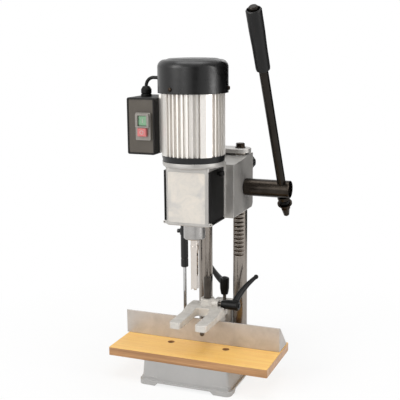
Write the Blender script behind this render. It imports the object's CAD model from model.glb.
import math

import bmesh
import bpy
from mathutils import Matrix, Vector


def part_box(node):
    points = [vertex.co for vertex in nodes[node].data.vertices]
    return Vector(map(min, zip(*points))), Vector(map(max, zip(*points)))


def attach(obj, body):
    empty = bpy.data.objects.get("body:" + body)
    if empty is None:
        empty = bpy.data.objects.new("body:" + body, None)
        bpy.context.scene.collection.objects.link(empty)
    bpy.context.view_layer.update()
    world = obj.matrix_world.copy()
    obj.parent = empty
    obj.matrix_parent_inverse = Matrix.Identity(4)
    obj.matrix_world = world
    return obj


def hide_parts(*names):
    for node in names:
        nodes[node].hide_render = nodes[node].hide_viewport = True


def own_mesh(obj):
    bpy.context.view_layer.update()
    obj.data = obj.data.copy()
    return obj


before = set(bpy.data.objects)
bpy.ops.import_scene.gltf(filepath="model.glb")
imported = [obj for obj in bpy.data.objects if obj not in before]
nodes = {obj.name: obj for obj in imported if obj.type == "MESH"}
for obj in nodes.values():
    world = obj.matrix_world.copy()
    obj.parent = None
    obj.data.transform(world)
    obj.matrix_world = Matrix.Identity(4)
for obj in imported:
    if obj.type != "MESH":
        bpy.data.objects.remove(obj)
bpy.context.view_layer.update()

# Lengths are in metres. Colours are sRGB fractions, unless a line says that they are linear.

# ------------------------------------------------------------------ named values
BEVEL_SAMPLES = 6
# the dot product of the rounded and the true normal, where an edge mask is full and where it ends
EDGE_SHARP = 0.75
EDGE_FLAT = 0.98
# sockets of Blender's colour Mix node
MIX_FACTOR, MIX_FIRST, MIX_SECOND, MIX_RESULT = 0, 6, 7, 2

# the lever crosses the hub's axis at its root, and leans from the vertical towards the front, which is -Y
LEVER_ROOT = Vector((0.1492, 0.0675, 0.399))
LEVER_LEAN = math.radians(29.3)
# the spring's ends along the lever, from its root
COIL_NEAR = -0.0192
COIL_FAR = -0.0381
COIL_RADIUS = 0.0106
COIL_WIRE = 0.0012  # radius of the wire
COIL_TURNS = 5
COIL_STEPS = 40  # per turn
COIL_SIDES = 12
COIL_END_CLOSENESS = 0.055  # a larger value draws the end turns closer together

# raised marks on the two buttons
MARK_SINK = 0.0001  # the marks' middle lies this far behind the button's face
BAR_SIZE = (0.0013, 0.0009, 0.0085)
BAR_ROUNDING = 0.00022
RING_RADIUS = 0.0036
RING_WIRE = 0.0007  # radius of the ring's section
RING_FLATNESS = 0.6  # its depth as a share of its width
RING_STEPS = 40
RING_SIDES = 8

FLOOR_REACH = 6.0
FLOOR_GREY = (0.90, 0.90, 0.90, 1)  # linear
# the floor is a little greyer near the object and turns white between these distances from the middle
FLOOR_NEAR, FLOOR_FAR = 0.20, 0.75
FLOOR_NEAR_WHITE = 0.82  # share of pure white in the near floor
WHITE = (1, 1, 1, 1)
AMBIENT_COLOR = (1.0, 0.985, 0.965, 1)  # linear
AMBIENT = 0.22

# the camera, fitted to the photograph
PHOTO_WIDTH = 400.0  # pixels
FOCAL_LENGTH = 814.8  # pixels
SENSOR = 36.0  # millimetres
CAMERA_PLACE = (0.6199, -1.5974, 0.7222)
CAMERA_TURN = math.radians(21.7)
CAMERA_TILT = math.radians(90 - 11.4)
CAMERA_ROLL = -0.008
CAMERA_SHIFT = (0.001, 0.0015)


# ------------------------------------------------------------------ small helpers
def linear(color):
    """sRGB fractions to the linear values that shaders take."""
    return tuple(c / 12.92 if c <= 0.04045 else ((c + 0.055) / 1.055) ** 2.4 for c in color) + (1.0,)


def shifted(color, step):
    """A colour made lighter or darker by a step."""
    return [min(1.0, max(0.0, c + step)) for c in color]


def scaled(color, factor):
    """A colour made darker by a factor."""
    return [c * factor for c in color]


class Shader:
    """One Principled material and short ways to add nodes to it."""

    def __init__(self, name, color, rough, metal=0.0, specular=0.5, coat=0.0, coat_rough=0.2):
        self.mat = bpy.data.materials.new(name)
        self.mat.use_nodes = True
        self.tree = self.mat.node_tree
        self.bsdf = self.tree.nodes["Principled BSDF"]
        self.bsdf.inputs["Base Color"].default_value = linear(color)
        self.bsdf.inputs["Roughness"].default_value = rough
        self.bsdf.inputs["Metallic"].default_value = metal
        self.bsdf.inputs["Specular IOR Level"].default_value = specular
        self.bsdf.inputs["Coat Weight"].default_value = coat
        self.bsdf.inputs["Coat Roughness"].default_value = coat_rough
        self.coord = self.add("ShaderNodeTexCoord")
        self.normal = None

    def add(self, kind, **settings):
        node = self.tree.nodes.new(kind)
        for key, value in settings.items():
            setattr(node, key, value)
        return node

    def join(self, source, target):
        self.tree.links.new(source, target)

    def noise(self, stretch=(1, 1, 1), scale=100.0, detail=4.0, rough=0.55, distort=0.0):
        """A noise value over object space, stretched per axis."""
        mapping = self.add("ShaderNodeMapping")
        mapping.inputs["Scale"].default_value = stretch
        self.join(self.coord.outputs["Object"], mapping.inputs["Vector"])
        noise = self.add("ShaderNodeTexNoise")
        noise.inputs["Scale"].default_value = scale
        noise.inputs["Detail"].default_value = detail
        noise.inputs["Roughness"].default_value = rough
        noise.inputs["Distortion"].default_value = distort
        self.join(mapping.outputs["Vector"], noise.inputs["Vector"])
        return noise.outputs["Fac"]

    def ramp(self, value, stops):
        """A colour ramp with two or more (place, colour) stops."""
        node = self.add("ShaderNodeValToRGB")
        elements = node.color_ramp.elements
        while len(elements) < len(stops):
            elements.new(1.0)
        for element, (place, color) in zip(elements, stops):
            element.position = place
            element.color = linear(color)
        self.join(value, node.inputs["Fac"])
        return node.outputs["Color"]

    def spread(self, value, low, high, from_low=0.3, from_high=0.7):
        """A value mapped from one range to another."""
        node = self.add("ShaderNodeMapRange")
        node.inputs["From Min"].default_value = from_low
        node.inputs["From Max"].default_value = from_high
        node.inputs["To Min"].default_value = low
        node.inputs["To Max"].default_value = high
        self.join(value, node.inputs["Value"])
        return node.outputs["Result"]

    def mix(self, factor, first, second):
        """The first colour mixed towards the second, which may be a socket or a colour."""
        node = self.add("ShaderNodeMix", data_type="RGBA")
        self.join(factor, node.inputs[MIX_FACTOR])
        self.join(first, node.inputs[MIX_FIRST])
        if isinstance(second, bpy.types.NodeSocket):
            self.join(second, node.inputs[MIX_SECOND])
        else:
            node.inputs[MIX_SECOND].default_value = linear(second)
        return node.outputs[MIX_RESULT]

    def math(self, operation, first, second=0.0):
        """A clamped Math node; its second value may be a socket or a number."""
        node = self.add("ShaderNodeMath", operation=operation, use_clamp=True)
        self.join(first, node.inputs[0])
        if isinstance(second, bpy.types.NodeSocket):
            self.join(second, node.inputs[1])
        else:
            node.inputs[1].default_value = second
        return node.outputs[0]

    def color(self, socket):
        self.join(socket, self.bsdf.inputs["Base Color"])

    def rough(self, socket):
        self.join(socket, self.bsdf.inputs["Roughness"])

    def bevel(self, radius):
        """The surface's normal with edges rounded to that radius."""
        node = self.add("ShaderNodeBevel", samples=BEVEL_SAMPLES)
        node.inputs["Radius"].default_value = radius
        return node.outputs["Normal"]

    def round_edges(self, radius):
        """Edges of that radius in the shading normal."""
        self.normal = self.bevel(radius)
        self.join(self.normal, self.bsdf.inputs["Normal"])

    def bump(self, value, strength, distance):
        """Relief on top of the rounded edges, so round_edges comes first."""
        node = self.add("ShaderNodeBump")
        node.inputs["Strength"].default_value = strength
        node.inputs["Distance"].default_value = distance
        self.join(value, node.inputs["Height"])
        self.join(self.normal, node.inputs["Normal"])
        self.normal = node.outputs["Normal"]
        self.join(self.normal, self.bsdf.inputs["Normal"])

    def edges(self, radius):
        """A mask that is 1 on sharp edges."""
        geometry = self.add("ShaderNodeNewGeometry")
        dot = self.add("ShaderNodeVectorMath", operation="DOT_PRODUCT")
        self.join(self.bevel(radius), dot.inputs[0])
        self.join(geometry.outputs["Normal"], dot.inputs[1])
        return self.spread(dot.outputs["Value"], 1.0, 0.0, EDGE_SHARP, EDGE_FLAT)


def give(material, *names):
    """A material for CAD nodes or new pieces."""
    for name in names:
        piece = nodes[name] if isinstance(name, str) else name
        piece.data.materials.clear()
        piece.data.materials.append(material)


# ------------------------------------------------------------------ kinds of material
def painted(name, color, rough, grain, edge, wear, mottling=0.03, metal=0.0, coat=0.0, specular=0.5):
    """Sprayed paint: slight mottling, orange peel, soft edges with paler worn places."""
    s = Shader(name, color, rough, metal, specular=specular, coat=coat)
    cloud = s.noise(scale=28.0, detail=5.0, rough=0.6)
    tone = s.ramp(cloud, [(0.3, shifted(color, -mottling)), (0.7, shifted(color, mottling))])
    fine = s.noise(scale=900.0, detail=3.0, rough=0.6)
    tone = s.mix(s.spread(fine, 0.0, 0.10, 0.35, 0.7), tone, scaled(color, 0.82))
    patches = s.spread(s.noise(scale=140.0, detail=6.0), 0.25, 1.0, 0.35, 0.62)
    tone = s.mix(s.math("MULTIPLY", s.edges(0.0011), patches), tone, wear)
    s.color(tone)
    s.rough(s.spread(s.noise(scale=75.0, detail=4.0), rough - 0.05, rough + 0.08))
    s.round_edges(edge)
    s.bump(s.noise(scale=380.0, detail=2.0), strength=0.12, distance=0.00025)
    s.bump(fine, strength=grain, distance=0.0006)
    return s.mat


def steel(name, color, rough, stretch=(1, 1, 1), scratch=0.12, edge=0.0006, spots=0.03, metal=1.0,
          line_scale=420.0):
    """Bare metal: fine tool lines along one axis, cloudy tarnish, uneven gloss."""
    s = Shader(name, color, rough, metal)
    lines = s.noise(stretch=stretch, scale=line_scale, detail=5.0, rough=0.7)
    cloud = s.noise(scale=34.0, detail=6.0, rough=0.62, distort=0.4)
    tone = s.ramp(cloud, [(0.32, shifted(color, -spots * 2.2)), (0.62, color)])
    tone = s.mix(s.spread(lines, 0.0, 0.22, 0.35, 0.7), tone, scaled(color, 0.78))
    s.color(tone)
    s.rough(s.spread(lines, rough - scratch * 0.5, rough + scratch, 0.3, 0.72))
    s.round_edges(edge)
    s.bump(lines, strength=0.10, distance=0.00012)
    return s.mat


def plastic(name, color, rough, grain, grain_scale=1500.0, edge=0.0008, specular=0.22):
    """Moulded plastic: a fine spark-eroded grain and faint flow marks."""
    s = Shader(name, color, rough, specular=specular)
    flow = s.noise(stretch=(1, 1, 0.35), scale=45.0, detail=4.0)
    tone = s.ramp(flow, [(0.3, shifted(color, -0.012)), (0.7, shifted(color, 0.012))])
    tone = s.mix(s.math("MULTIPLY", s.edges(0.0009), 0.35), tone, shifted(color, 0.12))
    s.color(tone)
    grainy = s.noise(scale=grain_scale, detail=2.0, rough=0.5)
    s.rough(s.spread(grainy, rough - 0.04, rough + 0.08))
    s.round_edges(edge)
    s.bump(grainy, strength=grain, distance=0.00022)
    return s.mat


def wood_board():
    """Lacquered board: straight fine grain along X, darker on its sawn edges."""
    s = Shader("board_wood", (0.90, 0.71, 0.38), 0.42, coat=0.25, coat_rough=0.25)
    planks = s.noise(stretch=(0.6, 16, 1), scale=2.1, detail=1.0)
    bands = s.noise(stretch=(1.2, 46, 46), scale=3.2, detail=6.0, rough=0.62, distort=0.25)
    fibres = s.noise(stretch=(5, 260, 260), scale=4.0, detail=7.0, rough=0.72)
    pores = s.noise(stretch=(16, 420, 420), scale=3.0, detail=2.0)
    top = s.ramp(bands, [(0.28, (0.94, 0.70, 0.34)), (0.5, (0.99, 0.79, 0.41)), (0.72, (1.0, 0.84, 0.47))])
    top = s.mix(s.spread(planks, 0.0, 0.35, 0.42, 0.58), top, (0.97, 0.76, 0.41))
    top = s.mix(s.spread(fibres, 0.0, 0.30, 0.42, 0.72), top, (0.84, 0.63, 0.33))
    top = s.mix(s.spread(pores, 0.0, 0.55, 0.66, 0.74), top, (0.62, 0.42, 0.20))
    side = s.ramp(bands, [(0.30, (0.60, 0.43, 0.27)), (0.55, (0.74, 0.55, 0.36)), (0.75, (0.83, 0.65, 0.45))])
    side = s.mix(s.spread(fibres, 0.0, 0.45, 0.40, 0.70), side, (0.52, 0.36, 0.22))
    split = s.add("ShaderNodeSeparateXYZ")
    s.join(s.coord.outputs["Normal"], split.inputs[0])
    up = s.math("ABSOLUTE", split.outputs["Z"])
    s.color(s.mix(s.spread(up, 0.0, 1.0, 0.45, 0.75), side, top))
    s.rough(s.spread(fibres, 0.36, 0.52))
    s.round_edges(0.0012)
    s.bump(fibres, strength=0.10, distance=0.0004)
    return s.mat


def mottled_plate():
    """Pale bare front plate: cloudy, slightly stained, dull metal."""
    s = Shader("bare_plate", (0.86, 0.84, 0.81), 0.5, 0.35)
    big = s.noise(scale=26.0, detail=7.0, rough=0.66, distort=0.6)
    small = s.noise(scale=170.0, detail=5.0, rough=0.65)
    tone = s.ramp(big, [(0.30, (0.73, 0.72, 0.71)), (0.5, (0.81, 0.79, 0.76)), (0.7, (0.86, 0.83, 0.79))])
    tone = s.mix(s.spread(small, 0.0, 0.35, 0.5, 0.75), tone, (0.74, 0.73, 0.71))
    s.color(tone)
    s.rough(s.spread(big, 0.42, 0.62))
    s.round_edges(0.0006)
    s.bump(small, strength=0.18, distance=0.0004)
    return s.mat


def rough_cast():
    """Sand casting, tumbled bare: pitted skin, paler rubbed edges."""
    color = (0.82, 0.805, 0.78)
    s = Shader("bare_casting", color, 0.6, 0.25)
    sand = s.noise(scale=620.0, detail=5.0, rough=0.7)
    lumps = s.noise(scale=150.0, detail=4.0, rough=0.6)
    cloud = s.noise(scale=40.0, detail=6.0, rough=0.6)
    tone = s.ramp(cloud, [(0.3, shifted(color, -0.06)), (0.7, shifted(color, 0.05))])
    tone = s.mix(s.spread(sand, 0.0, 0.5, 0.48, 0.72), tone, scaled(color, 0.72))
    tone = s.mix(s.math("MULTIPLY", s.edges(0.0014), 0.6), tone, shifted(color, 0.12))
    s.color(tone)
    s.rough(s.spread(lumps, 0.5, 0.7))
    s.round_edges(0.0014)
    s.bump(lumps, strength=0.30, distance=0.0009)
    s.bump(sand, strength=0.40, distance=0.0005)
    return s.mat


# ------------------------------------------------------------------ the machine's materials
base_paint = painted("base_paint", (0.67, 0.665, 0.66), 0.42, grain=0.12, edge=0.0020,
                     wear=(0.84, 0.84, 0.83), mottling=0.015, coat=0.10)
head_paint = painted("head_paint", (0.70, 0.69, 0.675), 0.38, grain=0.22, edge=0.0018,
                     wear=(0.82, 0.82, 0.81), metal=0.55)
black_gloss = painted("black_gloss", (0.055, 0.055, 0.056), 0.30, grain=0.05, edge=0.0010,
                      wear=(0.12, 0.12, 0.12), mottling=0.008, specular=0.40)
column_steel = steel("column_steel", (0.59, 0.56, 0.53), 0.22, stretch=(9, 9, 0.4), scratch=0.08,
                     spots=0.012)
turned_steel = steel("turned_steel", (0.70, 0.69, 0.68), 0.26, stretch=(1, 1, 9), scratch=0.14)
tool_steel = steel("tool_steel", (0.86, 0.83, 0.80), 0.20, stretch=(7, 7, 1))
fence_steel = steel("fence_steel", (0.76, 0.735, 0.71), 0.42, stretch=(0.6, 9, 9), edge=0.0008, metal=0.65)
black_oxide = steel("black_oxide", (0.21, 0.18, 0.155), 0.30, stretch=(6, 1, 1), spots=0.02)
hub_brown = steel("hub_brown", (0.23, 0.21, 0.19), 0.24, stretch=(1, 6, 6))
lever_black = steel("lever_black", (0.19, 0.175, 0.16), 0.28, stretch=(5, 1, 1), spots=0.015, metal=0.9)
screw_steel = steel("screw_steel", (0.42, 0.40, 0.38), 0.36, scratch=0.15)
rod_steel = steel("rod_steel", (0.33, 0.31, 0.29), 0.28, stretch=(1, 1, 8))
chrome = steel("strut_chrome", (0.80, 0.80, 0.80), 0.10, stretch=(1, 1, 9), scratch=0.05, spots=0.02)
spring_steel = steel("spring_steel", (0.16, 0.16, 0.165), 0.30, metal=0.8)
fin_aluminium = steel("fin_aluminium", (0.92, 0.905, 0.885), 0.36, stretch=(1, 1, 0.5), scratch=0.04,
                      edge=0.0004, spots=0.006, metal=0.6, line_scale=500.0)
bush_bronze = steel("bush_bronze", (0.42, 0.34, 0.22), 0.40, stretch=(1, 1, 8))
copper = steel("winding_copper", (0.72, 0.42, 0.25), 0.35, stretch=(1, 1, 12), line_scale=800.0)
cast_iron = rough_cast()
plate_metal = mottled_plate()
board_wood = wood_board()
box_plastic = plastic("box_plastic", (0.105, 0.10, 0.095), 0.50, grain=0.30, grain_scale=1300.0)
lid_plastic = plastic("lid_plastic", (0.355, 0.335, 0.31), 0.50, grain=0.30, grain_scale=1300.0)
black_plastic = plastic("black_plastic", (0.06, 0.058, 0.055), 0.44, grain=0.30, specular=0.15)
knob_plastic = plastic("knob_plastic", (0.08, 0.08, 0.08), 0.38, grain=0.18)
clamp_black = plastic("clamp_black", (0.055, 0.055, 0.055), 0.38, grain=0.35, grain_scale=900.0,
                      edge=0.0010, specular=0.2)
grip_black = plastic("grip_black", (0.065, 0.064, 0.063), 0.40, grain=0.22, grain_scale=700.0, specular=0.3)
bezel_grey = plastic("bezel_grey", (0.55, 0.535, 0.51), 0.45, grain=0.15, specular=0.4)
green_cap = plastic("green_cap", (0.50, 0.66, 0.53), 0.40, grain=0.10, specular=0.4)
red_cap = plastic("red_cap", (0.80, 0.46, 0.46), 0.40, grain=0.10, specular=0.4)
cable_black = plastic("cable_black", (0.07, 0.07, 0.072), 0.42, grain=0.2, grain_scale=1100.0)
mark_white = plastic("mark_white", (0.74, 0.72, 0.70), 0.4, grain=0.05, specular=0.4)

give(base_paint, "base_casting")
give(head_paint, "head_casting", "tie_plate")
give(board_wood, "table_board")
give(column_steel, "column_left", "column_right")
give(fence_steel, "fence_plate")
give(cast_iron, "hold_down_fork", "guide_block", "fence_bar")
give(rod_steel, "hold_down_rod")
give(screw_steel, "table_screws", "fence_screw", "fence_lock_stud", "hold_down_stud", "cover_hinge_pins")
give(clamp_black, "hold_down_lever", "fence_lock_lever")
give(plate_metal, "front_plate")
give(turned_steel, "chisel_collar", "stator_core", "spindle_bearings", "motor_rotor", "motor_shaft",
     "drill_chuck", "feed_pinion")
give(tool_steel, "hollow_chisel", "auger_bit")
give(black_gloss, "motor_cap", "motor_end_ring", "strut_body", "strut_clamp")
give(fin_aluminium, "motor_housing", "switch_box_bracket", "motor_capacitor")
give(copper, "stator_windings")
give(bush_bronze, "column_bushes", "pinion_bushes")
give(box_plastic, "switch_box")
give(lid_plastic, "switch_box_lid")
give(bezel_grey, "switch_bezel")
give(green_cap, "start_button")
give(red_cap, "stop_button")
give(black_plastic, "cable_glands", "cooling_fan", "chuck_cover_left", "chuck_cover_right")
give(knob_plastic, "column_lock_knob")
give(cable_black, "motor_lead")
give(chrome, "strut_rod")
give(hub_brown, "feed_hub")
give(black_oxide, "lever_washers", "lever_nut", "tie_plate_bolts", "cap_screws", "collar_screw",
     "column_set_screws")
give(lever_black, "lever_bar")
give(grip_black, "lever_grip")


# ------------------------------------------------------------------ object and mesh helpers
def new_object(name, data):
    """An object in the scene that shows that mesh, lamp or camera."""
    item = bpy.data.objects.new(name, data)
    bpy.context.scene.collection.objects.link(item)
    return item


def finished(name, bm):
    """An object made from a bmesh, which is freed."""
    mesh = bpy.data.meshes.new(name)
    bm.to_mesh(mesh)
    bm.free()
    return new_object(name, mesh)


def full_turn(count):
    """That many angles, evenly round a circle."""
    return [2 * math.pi * step / count for step in range(count)]


def skin(bm, rings):
    """Smooth faces from each ring of vertices to the next."""
    sides = len(rings[0])
    for first, second in zip(rings, rings[1:]):
        for side in range(sides):
            beside = (side + 1) % sides
            face = bm.faces.new((first[side], first[beside], second[beside], second[side]))
            face.smooth = True


# ------------------------------------------------------------------ lever spring, squeezed by the pull
lever_way = Vector((0, -math.sin(LEVER_LEAN), math.cos(LEVER_LEAN)))
side_way = Vector((1, 0, 0))
cross_way = lever_way.cross(side_way)


def spring_piece():
    """A closed-end coil of round wire between the hub's seat and the big washers."""
    bm = bmesh.new()
    steps = COIL_TURNS * COIL_STEPS
    rings = []
    for step in range(steps + 1):
        share = step / steps
        eased = share - COIL_END_CLOSENESS * math.sin(2 * math.pi * share)
        along = COIL_FAR + COIL_WIRE + (COIL_NEAR - COIL_FAR - 2 * COIL_WIRE) * eased
        angle = 2 * math.pi * COIL_TURNS * share
        out = side_way * math.cos(angle) + cross_way * math.sin(angle)
        centre = LEVER_ROOT + lever_way * along + out * COIL_RADIUS
        rings.append([bm.verts.new(centre + (out * math.cos(turn) + lever_way * math.sin(turn)) * COIL_WIRE)
                      for turn in full_turn(COIL_SIDES)])
    skin(bm, rings)
    bm.faces.new(rings[0])
    bm.faces.new(list(reversed(rings[-1])))
    bmesh.ops.recalc_face_normals(bm, faces=bm.faces)
    return finished("lever_coil", bm)


coil = spring_piece()
give(spring_steel, coil)
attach(coil, "hub")
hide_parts("lever_spring")
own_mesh(coil)


# ------------------------------------------------------------------ raised marks on the two buttons
def mark_place(node):
    """The middle of a button's face, a little sunk into it."""
    low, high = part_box(node)
    return Vector(((low.x + high.x) / 2, low.y + MARK_SINK, (low.z + high.z) / 2))


def bar_mark(name, centre):
    """A small raised bar with rounded corners on a button's face."""
    bm = bmesh.new()
    bmesh.ops.create_cube(bm, size=1.0)
    bmesh.ops.scale(bm, vec=BAR_SIZE, verts=bm.verts)
    bmesh.ops.bevel(bm, geom=bm.edges, offset=BAR_ROUNDING, segments=2, profile=0.6, affect="EDGES")
    bmesh.ops.translate(bm, vec=centre, verts=bm.verts)
    return finished(name, bm)


def ring_mark(name, centre):
    """A small raised ring on a button's face."""
    bm = bmesh.new()
    depth_way = Vector((0, 1, 0))
    rings = []
    for angle in full_turn(RING_STEPS):
        out = Vector((math.cos(angle), 0, math.sin(angle)))
        rings.append([bm.verts.new(centre + out * (RING_RADIUS + RING_WIRE * math.cos(turn))
                                   + depth_way * RING_WIRE * RING_FLATNESS * math.sin(turn))
                      for turn in full_turn(RING_SIDES)])
    skin(bm, rings + rings[:1])
    bmesh.ops.recalc_face_normals(bm, faces=bm.faces)
    return finished(name, bm)


start_mark = bar_mark("start_mark", mark_place("start_button"))
give(mark_white, start_mark)
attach(start_mark, "start_button")
stop_mark = ring_mark("stop_mark", mark_place("stop_button"))
give(mark_white, stop_mark)
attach(stop_mark, "stop_button")


# ------------------------------------------------------------------ floor and surroundings
def seen_directly(tree):
    """1 on camera, glossy and transmission rays, so that metal also shows the white background."""
    path = tree.nodes.new("ShaderNodeLightPath")
    share = path.outputs["Is Camera Ray"]
    for kind in ("Is Glossy Ray", "Is Transmission Ray"):
        either = tree.nodes.new("ShaderNodeMath")
        either.operation = "MAXIMUM"
        tree.links.new(share, either.inputs[0])
        tree.links.new(path.outputs[kind], either.inputs[1])
        share = either.outputs[0]
    return share


def show_mixed(tree, factor, first, second, output):
    """The output node shows the first shader mixed towards the second."""
    node = tree.nodes.new("ShaderNodeMixShader")
    tree.links.new(factor, node.inputs["Fac"])
    tree.links.new(first.outputs[0], node.inputs[1])
    tree.links.new(second.outputs[0], node.inputs[2])
    tree.links.new(node.outputs[0], tree.nodes[output].inputs["Surface"])


floor_mesh = bpy.data.meshes.new("floor")
floor_mesh.from_pydata([(-FLOOR_REACH, -FLOOR_REACH, 0), (FLOOR_REACH, -FLOOR_REACH, 0),
                        (FLOOR_REACH, FLOOR_REACH, 0), (-FLOOR_REACH, FLOOR_REACH, 0)], [], [(0, 1, 2, 3)])
floor = new_object("floor", floor_mesh)
floor_mat = bpy.data.materials.new("floor_white")
floor_mat.use_nodes = True
tree = floor_mat.node_tree
matt = tree.nodes["Principled BSDF"]
matt.inputs["Base Color"].default_value = FLOOR_GREY
matt.inputs["Roughness"].default_value = 0.9
glow = tree.nodes.new("ShaderNodeEmission")
glow.inputs["Color"].default_value = WHITE
glow.inputs["Strength"].default_value = 1.0
coord = tree.nodes.new("ShaderNodeTexCoord")
distance = tree.nodes.new("ShaderNodeVectorMath")
distance.operation = "LENGTH"
tree.links.new(coord.outputs["Object"], distance.inputs[0])
whiteness = tree.nodes.new("ShaderNodeMapRange")
whiteness.inputs["From Min"].default_value = FLOOR_NEAR
whiteness.inputs["From Max"].default_value = FLOOR_FAR
whiteness.inputs["To Min"].default_value = FLOOR_NEAR_WHITE
whiteness.inputs["To Max"].default_value = 1.0
tree.links.new(distance.outputs["Value"], whiteness.inputs["Value"])
share = tree.nodes.new("ShaderNodeMath")
share.operation = "MULTIPLY"
tree.links.new(seen_directly(tree), share.inputs[0])
tree.links.new(whiteness.outputs["Result"], share.inputs[1])
show_mixed(tree, share.outputs[0], matt, glow, "Material Output")
floor_mesh.materials.append(floor_mat)

world = bpy.data.worlds.new("studio")
bpy.context.scene.world = world
world.use_nodes = True
tree = world.node_tree
ambient = tree.nodes["Background"]
ambient.inputs["Color"].default_value = AMBIENT_COLOR
ambient.inputs["Strength"].default_value = AMBIENT
white = tree.nodes.new("ShaderNodeBackground")
white.inputs["Color"].default_value = WHITE
white.inputs["Strength"].default_value = 1.0
show_mixed(tree, seen_directly(tree), ambient, white, "World Output")


# ------------------------------------------------------------------ lamps and reflection cards
def softbox(name, place, aim_height, width, height, power, color=(1, 1, 1)):
    """A rectangular studio lamp aimed at a point above the middle of the floor; power in watts."""
    lamp = bpy.data.lights.new(name, "AREA")
    lamp.shape = "RECTANGLE"
    lamp.size = width
    lamp.size_y = height
    lamp.energy = power
    lamp.color = color
    holder = new_object(name, lamp)
    holder.location = place
    aim = Vector((0.0, 0.0, aim_height)) - Vector(place)
    holder.rotation_euler = aim.to_track_quat("-Z", "Y").to_euler()


softbox("key_left", (-1.5, -2.2, 1.5), 0.40, 1.1, 1.6, 40.0, (1.0, 0.99, 0.97))
softbox("side_right", (2.3, -0.1, 0.9), 0.35, 0.8, 1.6, 24.0, (1.0, 0.99, 0.98))
softbox("front", (-0.3, -2.7, 0.9), 0.30, 1.0, 1.0, 7.0)
softbox("top", (0.0, -0.2, 2.3), 0.30, 1.8, 1.4, 26.0)
softbox("back", (0.6, 2.0, 1.5), 0.40, 1.6, 1.0, 10.0)


def flag(name, low, high):
    """A dark upright card between two corners, which only reflections in shiny surfaces show."""
    mesh = bpy.data.meshes.new(name)
    corners = [low, (high[0], high[1], low[2]), high, (low[0], low[1], high[2])]
    mesh.from_pydata(corners, [], [(0, 1, 2, 3)])
    card = new_object(name, mesh)
    mesh.materials.append(Shader(name, (0.05, 0.05, 0.05), 0.9, specular=0.0).mat)
    card.visible_camera = False
    card.visible_diffuse = False
    card.visible_shadow = False
    card.visible_transmission = False


flag("flag_camera_side", (0.75, -2.15, -0.4), (1.35, -1.75, 1.5))
flag("flag_right_back", (1.25, 0.40, -0.2), (0.10, 1.30, 1.6))

# ------------------------------------------------------------------ camera
camera_data = bpy.data.cameras.new("camera")
camera_data.sensor_width = SENSOR
camera_data.lens = SENSOR * FOCAL_LENGTH / PHOTO_WIDTH
camera_data.clip_start = 0.05
camera_data.clip_end = 30.0
camera_data.shift_x, camera_data.shift_y = CAMERA_SHIFT
camera = new_object("camera", camera_data)
camera.location = CAMERA_PLACE
aim = Matrix.Rotation(CAMERA_TURN, 3, "Z") @ Matrix.Rotation(CAMERA_TILT, 3, "X")
camera.rotation_euler = (aim @ Matrix.Rotation(CAMERA_ROLL, 3, "Z")).to_euler()
bpy.context.scene.camera = camera
bpy.context.scene.view_settings.view_transform = "Standard"
